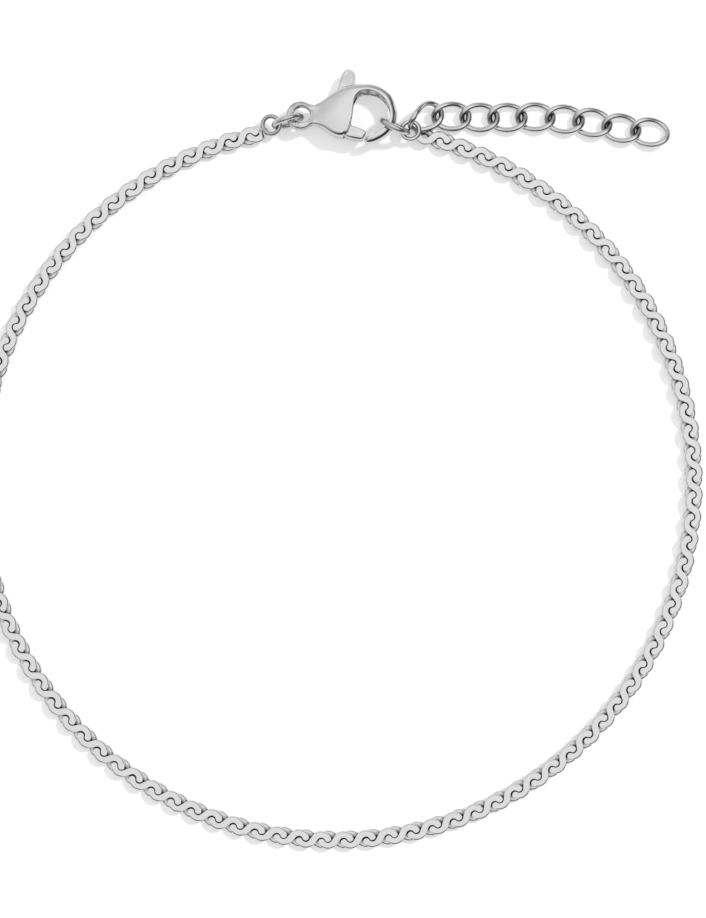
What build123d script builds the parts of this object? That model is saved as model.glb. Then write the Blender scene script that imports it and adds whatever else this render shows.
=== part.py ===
from build123d import *
from math import asin, atan2, cos, hypot, pi, radians, sin, sqrt
import os

# Chain anklet of polished steel, lying closed on a table. Millimetres, +Z up, table at Z = 0.
# Places in the plane are given from the middle of the loop, which LOOP_CENTRE puts in the part's frame.

# The loop of S-links: each link is one closed wire, an S on top of its mirror image, joined at both tips.
LOOP_RADIUS = 35.73
LOOP_CENTRE = (0.0, -2.24)
FIRST_LINK = 74.43          # compass of the first link, degrees anticlockwise from +X
LINK_STEP = 3.577           # each next link lies this many degrees further clockwise
LOOSE_LINKS = 92            # between the two end links, which carry the soldered rings
STRAND_WIDTH = 0.58
LOBE_RADIUS = 0.73          # of the strand's middle line, round the neighbour's tip
TIP_REACH = 1.45            # from the link's middle to the middle of a tip
PLATE = 0.50                # thickness of each of the two layers
LAYER_GAP = 0.14
POST_RADIUS = 0.15
POST_BITE = 0.05            # how far the turn of the wire goes into each layer
LINK_HEIGHT = 2 * PLATE + LAYER_GAP

# The small rings soldered to the ends of the chain: foot x, y, z, then heading, rise and roll in degrees.
END_RING_RADIUS = 0.895     # of the wire's middle line
END_RING_WIRE = 0.40
CLASP_RING = (0.11, 0.24, 0.97, 22.0, 18.0, 0.0)
EXTENDER_RING = (-1.46, 0.13, 1.28, 180.0, 2.0, -12.1)
WEB_SIZE = (0.56, 0.95)     # of the pressed end that carries the clasp's ring
WEB_MIDDLE = (-0.08, 0.13)
WEB_STEP = 0.04             # the web is this much lower than the link, above and below
WEB_ROUND = 0.22
HALF_LINK_CUT = -0.05
HALF_LINK_KEEP = 4.0

# The two jump rings, standing on edge: x, y, heading, lean of the top to the left of the heading.
JUMP_RADIUS = 1.40
JUMP_WIRE = 0.54
JUMP_CLASP = (-4.86, 36.02, 16.5, 8.0)
JUMP_CATCH = (5.80, 35.53, -24.6, -10.6)

# The lobster clasp, in its own frame: origin in the middle of the eye, X along the clasp, Z through it.
CLASP_EYE = (-3.39, 36.67, 1.53)
CLASP_ROLL = -8.0           # about its own length: the lever's side down
EYE_RADIUS = 1.36
EYE_HOLE = 0.88
EYE_THICKNESS = 1.04
EYE_ROUND = 0.22
CLAW_CENTRE = (6.50, 0.0)
CLAW_OUTER = 2.92
CLAW_INNER = 2.22
CLAW_START = 128.0
CLAW_END = -90.0
CLAW_ROOT_HALF = 1.15       # half thickness of the claw where it leaves the body
CLAW_TIP_HALF = 0.52        # and at its far side
CLAW_ROOT_X = 5.6
BODY_SECTIONS = [           # middle x, middle y, lean, half width, half height of side, half height of crown
    (0.95, 0.06, 0.0, 0.72, 0.42, 0.52),
    (2.20, 0.22, -3.0, 1.32, 0.52, 0.86),
    (3.55, 0.30, -8.0, 2.02, 0.62, 1.14),
    (4.98, 0.36, -12.0, 2.52, 0.64, 1.21),
]

# The lever in the clasp and its hidden pin.
PIVOT = (4.15, 0.85)
LEVER_THICKNESS = 1.10
TAB_TOP = (4.62, 4.42)
TAB_SHOULDERS = ((3.95, 3.80), (5.28, 3.80))
LEVER_OUTLINE = [           # from the right shoulder of the tab round the gate to the left shoulder
    (5.28, 3.80),
    (5.00, 1.05),
    (4.86, -1.05),
    (6.36, -1.78),
    (6.20, -2.48),
    (4.10, -1.82),
    (3.40, 0.75),
    (3.67, 2.30),
    (3.95, 3.80),
]
LEVER_SLOT = 1.26
SLOT_CORNERS = [            # room for the lever from shut to open
    (2.30, 4.20),
    (2.60, 1.60),
    (3.20, 0.20),
    (3.65, -2.60),
    (6.50, -2.60),
    (6.50, -1.00),
    (5.45, 0.90),
    (5.45, 4.60),
]
LEVER_BORE = 0.33
PIN_RADIUS = 0.30
PIN_HOLE = 0.315
PIN_LENGTH = 1.90
PIN_ROOM = 0.03             # left over at the ends of the pin, together

# The extender: curb links of round wire, each link's ends twisted out of its plane.
CURB_HALF_LENGTH = 1.78
CURB_HALF_WIDTH = 1.24
CURB_TWIST = 0.34
CURB_WIRE = 0.46
CURB_STATIONS = 16
CURB_SIDES = 6
CURB_LIE = 0.58             # height of a link's middle when it lies flat
EXTENDER = [                # x, y, z, turn, roll, pitch and extra twist of the near end
    (8.865, 36.48, 1.40, 27.5, 27.1, 18.1, 0.227),
    (11.47, 36.61, 0.804, -1.0, 13.6, 2.5, 0.0),
    (14.30, 36.51, 0.723, -1.0, 7.3, 0.0, 0.0),
    (17.08, 36.50, 0.68, 0.0, 3.0, 0.0, 0.0),
    (19.89, 36.56, 0.62, -2.0, 1.0, 0.0, 0.0),
    (22.82, 36.33, CURB_LIE, -5.0, 0.0, 0.0, 0.0),
    (25.58, 35.99, CURB_LIE, -9.0, 0.0, 0.0, 0.0),
    (28.49, 35.43, CURB_LIE, -10.0, 0.0, 0.0, 0.0),
    (31.36, 35.03, CURB_LIE, -8.0, 0.0, 0.0, 0.0),
]


def on_table(x, y, z=0.0, turn=0.0):
    """Location of something placed from the middle of the loop."""
    return Pos(LOOP_CENTRE[0] + x, LOOP_CENTRE[1] + y, z) * Rot(0, 0, turn)


def link_place(index):
    """Location of an S-link: its X runs clockwise along the loop and its Y points outwards."""
    compass = FIRST_LINK - index * LINK_STEP
    x = LOOP_RADIUS * cos(radians(compass))
    y = LOOP_RADIUS * sin(radians(compass))
    return on_table(x, y, 0.0, compass - 90)


def strand_face(side):
    """Flat outline of one S-shaped strand, or of its mirror image where side is -1."""
    pitch = LOOP_RADIUS * radians(LINK_STEP)
    lobe_x = pitch - TIP_REACH
    tip_y = sqrt(LOBE_RADIUS ** 2 - (TIP_REACH - lobe_x) ** 2) / 2
    half = STRAND_WIDTH / 2
    lobe = Vector(lobe_x, -tip_y)
    tip = Vector(TIP_REACH, tip_y)
    tip_angle = atan2(2 * tip_y, TIP_REACH - lobe_x)
    slope = asin(LOBE_RADIUS / hypot(lobe_x, tip_y)) - atan2(tip_y, lobe_x)
    root_angle = slope + pi / 2
    mid_angle = (tip_angle + root_angle) / 2

    def at(radius, angle):
        return lobe + Vector(cos(angle), sin(angle)) * radius

    inner = LOBE_RADIUS - half
    outer = LOBE_RADIUS + half
    nose = tip + Vector(sin(tip_angle), -cos(tip_angle)) * half
    arcs = [
        (at(outer, root_angle), at(outer, mid_angle), at(outer, tip_angle)),
        (at(outer, tip_angle), nose, at(inner, tip_angle)),
        (at(inner, tip_angle), at(inner, mid_angle), at(inner, root_angle)),
    ]
    straight = (at(inner, root_angle), -at(outer, root_angle))
    edges = []
    for turn in (1, -1):
        for arc in arcs:
            edges.append(ThreePointArc(*[(p.X * turn, p.Y * turn * side) for p in arc]))
        edges.append(Line(*[(p.X * turn, p.Y * turn * side) for p in straight]))
    return make_face(edges)


def plates():
    """The two layers of a link, lower then upper."""
    lower = extrude(strand_face(-1), PLATE, dir=(0, 0, 1))
    upper = extrude(strand_face(1), PLATE, dir=(0, 0, 1))
    return lower, Pos(0, 0, PLATE + LAYER_GAP) * upper


def post(x):
    """The turn of the wire from one layer to the other, at a tip."""
    return Pos(x, 0, LINK_HEIGHT / 2) * Cylinder(POST_RADIUS, LAYER_GAP + 2 * POST_BITE)


def s_link():
    """One closed S-link lying on the table."""
    lower, upper = plates()
    return lower + upper + post(TIP_REACH) + post(-TIP_REACH)


def end_ring(x, y, z, heading, rise, roll):
    """Ring that leaves its soldered foot along the heading and rises from it."""
    ring = Pos(END_RING_RADIUS, 0, 0) * Torus(END_RING_RADIUS, END_RING_WIRE / 2)
    return Pos(x, y, z) * Rot(0, 0, heading) * Rot(0, -rise, 0) * Rot(roll, 0, 0) * ring


def chain_end_extender_side():
    """First link of the chain, with the ring soldered to its tail."""
    return link_place(0) * (s_link() + end_ring(*EXTENDER_RING))


def chain_end_clasp_side():
    """Tail half of a link, pressed together and soldered to its ring."""
    lower, upper = plates()
    middle = LINK_HEIGHT / 2
    keep = Box(HALF_LINK_KEEP, HALF_LINK_KEEP, HALF_LINK_KEEP)
    keep = Pos(HALF_LINK_CUT - HALF_LINK_KEEP / 2, 0, middle) * keep
    half = (lower + upper + post(-TIP_REACH)) & keep
    web = Pos(*WEB_MIDDLE, middle) * Box(*WEB_SIZE, LINK_HEIGHT - 2 * WEB_STEP)
    web = fillet(web.edges().filter_by(Axis.Z), WEB_ROUND)
    return link_place(LOOSE_LINKS + 1) * (half + web + end_ring(*CLASP_RING))


def s_link_chain():
    """All the loose S-links of the loop, each clear of its neighbours."""
    link = s_link().solid()
    return Compound(children=[link_place(i + 1) * link for i in range(LOOSE_LINKS)])


def jump_ring(x, y, heading, lean):
    """Ring standing on the table on its edge."""
    height = JUMP_RADIUS * cos(radians(lean)) + JUMP_WIRE / 2
    upright = Rot(90 - lean, 0, 0) * Torus(JUMP_RADIUS, JUMP_WIRE / 2)
    return on_table(x, y, height, heading) * upright


def clasp_place():
    """Location of the clasp's own frame."""
    return on_table(*CLASP_EYE) * Rot(CLASP_ROLL, 0, 0)


def body_section(x, y, lean, half_width, side, crown):
    """Section across the body: two upright sides and a crowned top and underside."""
    top_right = (half_width, side)
    top_left = (-half_width, side)
    low_right = (half_width, -side)
    low_left = (-half_width, -side)
    edges = [
        Line(low_right, top_right),
        ThreePointArc(top_right, (0, crown), top_left),
        Line(top_left, low_left),
        ThreePointArc(low_left, (0, -crown), low_right),
    ]
    across = (-sin(radians(lean)), cos(radians(lean)), 0)
    along = (cos(radians(lean)), sin(radians(lean)), 0)
    return Plane(origin=(x, y, 0), x_dir=across, z_dir=along) * make_face(edges)


def body_shell():
    """Swelling body between the eye and the claw."""
    return loft([body_section(*row) for row in BODY_SECTIONS])


def claw():
    """Curved bar from the body round to the hook's tip, thinner towards its far side."""
    middle = (CLAW_START + CLAW_END) / 2

    def at(radius, angle):
        x = CLAW_CENTRE[0] + radius * cos(radians(angle))
        y = CLAW_CENTRE[1] + radius * sin(radians(angle))
        return (x, y)

    edges = [
        ThreePointArc(at(CLAW_OUTER, CLAW_START), at(CLAW_OUTER, middle), at(CLAW_OUTER, CLAW_END)),
        Line(at(CLAW_OUTER, CLAW_END), at(CLAW_INNER, CLAW_END)),
        ThreePointArc(at(CLAW_INNER, CLAW_END), at(CLAW_INNER, middle), at(CLAW_INNER, CLAW_START)),
        Line(at(CLAW_INNER, CLAW_START), at(CLAW_OUTER, CLAW_START)),
    ]
    bar = extrude(make_face(edges), 2 * CLAW_ROOT_HALF, both=True)
    far = CLAW_CENTRE[0] + CLAW_OUTER
    side_view = Polyline(
        (0, -CLAW_ROOT_HALF),
        (CLAW_ROOT_X, -CLAW_ROOT_HALF),
        (far, -CLAW_TIP_HALF),
        (far, CLAW_TIP_HALF),
        (CLAW_ROOT_X, CLAW_ROOT_HALF),
        (0, CLAW_ROOT_HALF),
        close=True,
    )
    envelope = extrude(Plane.XZ * make_face(side_view), 2 * CLAW_OUTER, both=True)
    return bar & envelope


def eye():
    """Flat ring at the clasp's near end, before its hole."""
    disc = Cylinder(EYE_RADIUS, EYE_THICKNESS)
    return fillet(disc.edges(), EYE_ROUND)


def flat_slab(corners, thickness):
    """Straight-edged outline given a thickness about the clasp's middle plane."""
    return extrude(make_face(Polyline(*corners, close=True)), thickness / 2, both=True)


def clasp_body():
    """Eye, body and claw in one, with room for the lever and its pin."""
    eye_hole = Cylinder(EYE_HOLE, 2 * EYE_THICKNESS)
    pin_hole = Pos(*PIVOT, 0) * Cylinder(PIN_HOLE, PIN_LENGTH + PIN_ROOM)
    solid = body_shell() + eye() + claw()
    return clasp_place() * (solid - eye_hole - flat_slab(SLOT_CORNERS, LEVER_SLOT) - pin_hole)


def clasp_lever():
    """Lever with its thumb tab and gate, bored for its pin."""
    tab_arc = ThreePointArc(TAB_SHOULDERS[0], TAB_TOP, TAB_SHOULDERS[1])
    outline = make_face([tab_arc, Polyline(*LEVER_OUTLINE)])
    plate = extrude(outline, LEVER_THICKNESS / 2, both=True)
    return clasp_place() * (plate - Pos(*PIVOT, 0) * Cylinder(LEVER_BORE, 2 * LEVER_THICKNESS))


def lever_pin():
    """Hidden pin the lever turns on."""
    return clasp_place() * Pos(*PIVOT, 0) * Cylinder(PIN_RADIUS, PIN_LENGTH)


def curb_point(angle, extra_twist):
    """Point on the middle line of a curb link."""
    twist = CURB_TWIST + extra_twist * (1 - cos(angle)) / 2
    return Vector(CURB_HALF_LENGTH * cos(angle), CURB_HALF_WIDTH * sin(angle), -twist * sin(2 * angle))


def curb_ring(angle, extra_twist):
    """Corners of the wire's section at one station of a curb link."""
    step = pi / CURB_STATIONS
    ahead = curb_point(angle + step, extra_twist)
    along = (ahead - curb_point(angle - step, extra_twist)).normalized()
    outward = Vector(cos(angle), sin(angle), 0)
    outward = (outward - along * outward.dot(along)).normalized()
    upward = along.cross(outward)
    corners = []
    for side in range(CURB_SIDES):
        around = 2 * pi * side / CURB_SIDES
        spoke = outward * cos(around) + upward * sin(around)
        corners.append(curb_point(angle, extra_twist) + spoke * (CURB_WIRE / 2))
    return corners


def curb_link(x, y, z, turn, roll, pitch, extra_twist):
    """Closed tube of flat facets along an oval whose four quarters rise and fall in turn."""
    rings = [curb_ring(2 * pi * i / CURB_STATIONS, extra_twist) for i in range(CURB_STATIONS)]
    faces = []
    for here, there in zip(rings, rings[1:] + rings[:1]):
        for side in range(CURB_SIDES):
            after = (side + 1) % CURB_SIDES
            faces.append(Face(Wire.make_polygon([here[side], there[side], there[after]])))
            faces.append(Face(Wire.make_polygon([here[side], there[after], here[after]])))
    link = Solid(Shell(faces))
    return on_table(x, y, z, turn) * Rot(0, pitch, 0) * Rot(roll, 0, 0) * link


def write(name, piece):
    """One STEP file for one piece."""
    export_step(piece, os.path.join("parts", name + ".step"))


def main():
    os.makedirs("parts", exist_ok=True)
    write("s_link_chain", s_link_chain())
    write("chain_end_extender_side", chain_end_extender_side())
    write("chain_end_clasp_side", chain_end_clasp_side())
    write("jump_ring_clasp", jump_ring(*JUMP_CLASP))
    write("jump_ring_catch", jump_ring(*JUMP_CATCH))
    write("clasp_body", clasp_body())
    write("clasp_lever", clasp_lever())
    write("lever_pin", lever_pin())
    for number, place in enumerate(EXTENDER, start=1):
        write(f"extender_link_{number}", curb_link(*place))


if __name__ == "__main__":
    main()
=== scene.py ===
from math import asin, atan2, cos, hypot, pi, radians, sin, sqrt

import bmesh
import bpy
import mathutils.geometry
from mathutils import Matrix, Vector
from mathutils.kdtree import KDTree


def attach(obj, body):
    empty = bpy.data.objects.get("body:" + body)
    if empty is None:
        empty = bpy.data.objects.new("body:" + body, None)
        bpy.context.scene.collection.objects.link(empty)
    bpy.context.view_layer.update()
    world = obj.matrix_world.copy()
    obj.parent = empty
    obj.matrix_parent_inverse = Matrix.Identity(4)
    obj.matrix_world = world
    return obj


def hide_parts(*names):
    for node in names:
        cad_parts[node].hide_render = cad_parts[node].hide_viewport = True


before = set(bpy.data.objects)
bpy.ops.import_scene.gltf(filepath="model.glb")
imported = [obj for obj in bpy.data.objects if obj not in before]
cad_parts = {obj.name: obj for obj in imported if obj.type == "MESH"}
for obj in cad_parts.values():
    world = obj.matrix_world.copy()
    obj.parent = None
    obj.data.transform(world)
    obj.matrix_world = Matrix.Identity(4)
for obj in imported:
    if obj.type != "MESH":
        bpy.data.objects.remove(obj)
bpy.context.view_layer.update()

bl_info = {
    "name": "Chain anklet",
    "version": (1, 0, 0),
    "blender": (4, 5, 0),
    "location": "3D View > Sidebar > Anklet",
    "description": "Builds a chain anklet of S-links with a lobster clasp and an extender",
    "category": "Object",
}

MM = 0.001

# The middle of the loop in the frame, and where the first link stands on it.
LOOP_CENTRE = (0.0, -2.24)
FIRST_LINK = 74.43
LOOP_LIFT = 0.022

# Painted shade darkens a link below this height, within this distance to each side of its middle line, fading
# out over this much.
SHADE_BELOW = 1.08
GAP_SHADE_HALF = 0.61
GAP_SHADE_FADE = 0.12

# A link's edges are polished wider where they lie this far out and face this much outwards.
OUTER_FROM = 0.50
OUTER_FADE = 0.25
OUTER_FACING = 0.4

# In how many steps the edges of a link and of the lever turn, and how wide the wire is that joins
# a link's layers at its tips.
EDGE_STEPS = 3
LEVER_STEPS = 6
TIP_WIRE = 0.16

# The jump rings stand on edge: x and y from the middle of the loop, heading and lean.
JUMP_RINGS = {
    "jump_ring_clasp": (-4.86, 36.02, 16.5, 8.0),
    "jump_ring_catch": (5.80, 35.53, -24.6, -10.6),
}

# The soldered rings, from the middle of their link: x, y, height, heading, rise and roll.
EXTENDER_RING = (-1.46, 0.13, 1.28, 180.0, 2.0, -12.1)
CLASP_RING = (0.11, 0.24, 0.97, 22.0, 18.0, 0.0)

# The pressed end of the last link on the clasp's side, its edges from the top inwards, and its solder.
WEB_SIZE = (0.56, 0.95)
WEB_MIDDLE = (-0.08, 0.13)
WEB_CORNER = 0.22
WEB_EDGE = [(0.15, 0.04), (0.13, 0.04), (0.10, 0.06), (0.01, 0.22), (0.0, 0.26)]
SOLDER_CENTRE = (0.16, 0.26, 0.78)
SOLDER_RADIUS = 0.34
SOLDER_HEIGHT = 0.30

# How finely wires are divided, round the ring and round the wire.
RING_STEPS = 96
WIRE_SIDES = 20

# How dull the wires are: the jump rings and the soldered rings on the extender's and the clasp's side; and how
# deep the painted shade is where the extender's links cross.
JUMP_DULLNESS = 0.10
SOLDERED_DULLNESS = (0.04, 0.28)
CROSSING_SHADE = 0.28

# Where painted shade sets in on an extender link's ends, where it darkens their inner side more, how fast each
# sets in, and how much darker the inner side is.
END_FROM = 0.80
END_FADE = 8.0
INNER_FROM = 0.98
INNER_FADE = 9.0
INNER_SHADE = 2.4

# How finely the casting is divided: its bands along the outlines, those that follow the outline's own
# corners and how far apart their spots are, and its grid inside them with its corners in the plan.
BORDER_BANDS = (0.012, 0.035, 0.07, 0.12, 0.18, 0.26, 0.36, 0.47)
FINE_BANDS = 0.2
FINE_SPACING = 0.02
GRID_STEP = 0.13
GRID_START = 0.54
GRID_BOX = ((-2.0, -3.4), (10.0, 3.6))

# The extender's links: x, y, height, turn, roll, pitch and extra twist of the near end.
EXTENDER = [
    (8.865, 36.48, 1.40, 27.5, 27.1, 18.1, 0.227),
    (11.47, 36.61, 0.804, -1.0, 13.6, 2.5, 0.0),
    (14.30, 36.51, 0.735, -1.0, 7.3, 0.0, 0.0),
    (17.08, 36.50, 0.68, 0.0, 3.0, 0.0, 0.0),
    (19.89, 36.56, 0.64, -2.0, 1.0, 0.0, 0.0),
    (22.82, 36.33, 0.58, -5.0, 0.0, 0.0, 0.0),
    (25.58, 35.99, 0.58, -9.0, 0.0, 0.0, 0.0),
    (28.49, 35.43, 0.58, -10.0, 0.0, 0.0, 0.0),
    (31.36, 35.03, 0.58, -8.0, 0.0, 0.0, 0.0),
]

# The clasp in its own frame, X along it from the eye: its outer rim from the neck to the hook, its
# lower edge and its throat.
CLASP_EYE = (-3.39, 36.67, 1.53)
CLASP_ROLL = -8.0
EYE_CENTRE = (-0.22, -0.10)
EYE_HOLE_CENTRE = (-0.08, -0.02)
UPPER_EDGE = [
    (1.12, 0.93),
    (1.55, 1.09),
    (2.10, 1.42),
    (2.90, 1.98),
    (3.60, 2.42),
    (4.40, 2.74),
    (5.30, 2.91),
    (5.95, 2.925),
]
LOWER_EDGE = [
    (4.16, -2.28),
    (3.86, -2.35),
    (3.40, -2.28),
    (2.80, -2.00),
    (2.10, -1.46),
    (1.50, -1.13),
    (1.15, -1.05),
]
THROAT = [
    (6.12, 2.27),
    (5.80, 2.14),
    (5.50, 1.90),
    (5.30, 1.62),
    (5.08, 1.08),
    (4.88, -0.38),
    (4.60, -1.40),
    (4.44, -1.84),
]
CLAW_CENTRE = (6.50, 0.0)
CLAW_ROOT = 6.0
GATE_FOOT = (4.51, -1.84)
PIVOT = (4.15, 0.85)

# Round the claw, by compass from its centre: half height, roundness of the outer edge, how far the
# throat's lip falls, and how the outer and inner radius swell towards the hook.
CLAW_HEIGHTS = [(104.0, 1.15), (60.0, 0.98), (0.0, 0.74), (-60.0, 0.76), (-90.0, 0.76)]
CLAW_EDGE = [(104.0, 0.80), (60.0, 0.76), (0.0, 0.70), (-60.0, 0.72), (-90.0, 0.80)]
CLAW_LIP = [(20.0, 0.05), (55.0, 0.14), (85.0, 0.24), (120.0, 0.18), (145.0, 0.05)]
HOOK_OUTER = [(0.0, 0.0), (-60.0, -0.05), (-92.0, 0.06)]
HOOK_INNER = [
    (94.0, 0.05),
    (60.0, 0.0),
    (0.0, 0.0),
    (-20.0, -0.02),
    (-45.0, -0.06),
    (-67.0, -0.10),
    (-92.0, 0.14),
]

# Along the clasp: half height at its edges, what the crown adds, and how round the outer edge is.
BODY_HEIGHTS = [(0.8, 0.52), (1.5, 0.60), (2.4, 0.78), (3.6, 0.92), (5.0, 1.06), (5.9, 1.15)]
BODY_CROWN = [(1.0, 0.0), (2.0, 0.12), (3.4, 0.24), (4.6, 0.20), (5.6, 0.04), (6.0, 0.0)]
BODY_EDGE = [(0.8, 0.26), (1.6, 0.26), (3.6, 0.46), (5.0, 0.66), (6.2, 0.80)]

# How far in from the rim the crown is full, how much steeper the upper flank falls and from where, and
# how thick the casting's border stays at least.
CROWN_REACH = 1.9
STEEPER = 0.24
STEEPER_FROM = 0.9
THINNEST = 0.03

# Where the clasp is darkened: duller towards the eye, painted shade on the wall of the eye's hole up to this
# height, partly painted shade and partly a duller finish on the throat's wall, and painted shade on the wall of
# the lever's room up to this height.
EYE_SIDE_DULLNESS = 0.34
EYE_SIDE_FROM = 1.9
EYE_SIDE_FADE = 1.1
EYE_WALL_RADIUS = 0.96
EYE_WALL_HEIGHT = 0.46
THROAT_FROM = (4.3, -1.9)
THROAT_RADIUS = 2.50
THROAT_LIP = 0.05
LIP_FADE = 0.03
ROOM_FROM = 2.3
ROOM_MIDDLE = 4.2
ROOM_RADIUS = 2.3
ROOM_HEIGHT = 0.64

# The room that the lever turns in, and the lever from the top of its tab round its gate.
SLOT_CORNERS = [
    (2.30, 4.20),
    (2.60, 1.60),
    (3.20, 0.20),
    (3.66, -1.88),
    (4.04, -2.05),
    (4.08, -2.60),
    (5.60, -2.60),
    (5.60, -1.00),
    (5.45, 0.90),
    (5.45, 4.60),
]
LEVER_OUTLINE = [
    (4.62, 4.54),
    (5.04, 4.40),
    (5.27, 4.00),
    (5.24, 3.40),
    (5.16, 2.60),
    (5.00, 1.05),
    (4.84, -1.05),
    (5.30, -1.38),
    (6.02, -1.66),
    (6.30, -1.96),
    (6.15, -2.32),
    (5.84, -2.67),
    (5.10, -2.58),
    (4.55, -2.42),
    (4.14, -2.24),
    (4.00, -1.90),
    (3.42, 0.75),
    (3.45, 2.30),
    (3.78, 3.55),
    (3.96, 4.08),
    (4.24, 4.42),
]

# Where the lever's gate and tab begin, how much thicker than the plate the gate is, how far the plate
# keeps inside the gate, and how far the far edge of the tab slants inwards and down.
GATE_BELOW = -0.9
TAB_ABOVE = 2.0
GATE_FULLNESS = 1.32
PLATE_INSET = 0.04
TAB_SLANT = (0.23, 0.30)

# How round the gate's edges are: at its ends, all along, and what its lower side has more; and how much
# of a corner's own bend they may take up.
GATE_ENDS = 0.03
GATE_EDGE = 0.08
GATE_LOWER = 0.34
BEND_SHARE = 0.7

# How round the plate's edges are, what the near side has more, and what the tab's far side and the part
# in the gate have less.
PLATE_EDGE = 0.11
PLATE_NEAR = 0.08
PLATE_FAR = 0.09
PLATE_IN_GATE = 0.08

# How dull the tab and the rest of the lever are.
TAB_DULLNESS = 0.15
LEVER_DULLNESS = 0.06

# Half of the lever's pin from its end to its middle: radius and height.
PIN_PROFILE = [(0.10, 0.95), (0.22, 0.94), (0.27, 0.91), (0.30, 0.86), (0.30, 0.0)]

# The camera in millimetres, its lens, and the key light's direction, strength and spread.
CAMERA_PLACE = (1.643, 0.12, 300.6)
CAMERA_LENS = 117.6
KEY_FROM = (0.90, 0.65, 1.32)
KEY_STRENGTH = 1.8
KEY_SPREAD = 5.0

# The studio around: how bright it is low down on the dark side, what the light side has more, between
# which heights it turns into the ceiling, and how bright that is in its middle and towards the key.
SKY_DARK = 0.06
SKY_GAIN = 0.70
CEILING_FROM = 0.56
CEILING_TO = 0.90
CEILING = 1.15
CEILING_TILT = 0.15

# The surface underneath as it is seen: its shade under the key, and what it glows besides.
PAPER_SHADE = 0.62
PAPER_GLOW = 0.405
FLOOR_HALF = 4.0


# The finishes: whose colour each has, how rough it is, what share of its tint its deepest painted shade and
# dullness keep, and the least that the casting's grain leaves of that darkening.
FINISHES = {
    "chain_polish": ("chain", 0.08, 0.02, 1.0),
    "clasp_polish": ("clasp", 0.09, 0.05, 0.05),
    "ring_satin": ("wire", 0.27, 0.10, 0.90),
    "wire_polish": ("wire", 0.08, 0.10, 0.90),
}

# Noise in the steel by its scale and detail: wide clouds, fine scratches, pits, and casting grain.
CLOUDS = (700.0, 3.0)
HAIRS = (1500.0, 4.0)
PITS = (3200.0, 2.0)
CAST_GRAIN = (1500.0, 3.0)
RECESS_ROUGHNESS = 0.30


# ---------------------------------------------------------------- settings


def length(name, description, default):
    """A size, its default given in millimetres."""
    return bpy.props.FloatProperty(
        name=name, description=description, default=default * MM, unit="LENGTH", precision=5
    )


def colour(name, description, default):
    """A colour without alpha."""
    return bpy.props.FloatVectorProperty(
        name=name, description=description, default=default, subtype="COLOR", size=3, min=0, max=1
    )


class ChainSizes(bpy.types.PropertyGroup):
    """Sizes of the S-links and of the loop they lie in"""

    loop_radius: length("Loop radius", "Radius of the loop at the middle of the chain", 35.73)
    strand: length("Strand width", "Width of a link's strand", 0.66)
    lobe: length("Lobe radius", "Radius of a strand's bend, at its middle line", 0.73)
    reach: length("Tip reach", "From the middle of a link to the middle of its tip", 1.45)
    plate: length("Layer", "Thickness of each of a link's two layers", 0.50)
    gap: length("Layer gap", "Room between a link's two layers", 0.14)
    edge: length("Edge", "Radius that a link's edges are polished to", 0.035)
    outer_edge: length("Outer edge", "Radius of the edges along the outside of the chain", 0.21)
    spread: length("Spread", "How much wider the lower layer lies towards its neighbours", 0.045)
    nose: length("Nose", "How much blunter than round a strand's tip is", 0.05)
    step: bpy.props.FloatProperty(
        name="Step", description="Turn from one link to the next", default=radians(3.577), subtype="ANGLE"
    )
    count: bpy.props.IntProperty(name="Links", description="Loose links in the loop", default=92, min=1)
    sway: bpy.props.FloatProperty(
        name="Sway", description="How far a link may lean to either side", default=radians(0.8), subtype="ANGLE"
    )
    seed: bpy.props.IntProperty(name="Seed", description="Start of the links' small leans", default=3)


class WireSizes(bpy.types.PropertyGroup):
    """Sizes of the rings and of the extender's links"""

    jump_radius: length("Jump ring", "Radius of the jump rings at the wire's middle", 1.40)
    jump_wire: length("Jump ring wire", "Diameter of the jump rings' wire", 0.60)
    end_radius: length("End ring", "Radius of the soldered rings at the wire's middle", 0.88)
    end_wire: length("End ring wire", "Diameter of the soldered rings' wire", 0.46)
    curb_length: length("Extender link length", "Half length of an extender link at the wire's middle", 1.78)
    curb_width: length("Extender link width", "Half width of an extender link at the wire's middle", 1.24)
    curb_twist: length("Extender twist", "Rise and fall of an extender link's quarters", 0.33)
    curb_wire: length("Extender wire", "Diameter of the extender's wire", 0.57)


class ClaspSizes(bpy.types.PropertyGroup):
    """Sizes of the lobster clasp and its lever"""

    eye_radius: length("Eye", "Outer radius of the clasp's eye", 1.42)
    eye_hole: length("Eye hole", "Radius of the hole in the eye", 0.88)
    claw_outer: length("Claw outer", "Outer radius of the claw", 2.95)
    claw_inner: length("Claw inner", "Inner radius of the claw", 2.22)
    slot: length("Slot", "Width of the room for the lever", 1.26)
    lever: length("Lever", "Thickness of the lever", 1.20)


class SteelLook(bpy.types.PropertyGroup):
    """Colours of the steel and of the surface underneath"""

    chain: colour("Chain", "Colour of the links' steel", (0.65, 0.65, 0.65))
    clasp: colour("Clasp", "Colour of the clasp's steel", (0.62, 0.62, 0.62))
    wire: colour("Wire", "Colour of the rings' and extender's steel", (0.62, 0.62, 0.62))
    floor: colour("Floor", "Colour of the surface underneath", (0.92, 0.92, 0.92))


GROUPS = {
    "anklet_chain": ChainSizes,
    "anklet_wire": WireSizes,
    "anklet_clasp": ClaspSizes,
    "anklet_steel": SteelLook,
}


# ---------------------------------------------------------------- node writing


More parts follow.
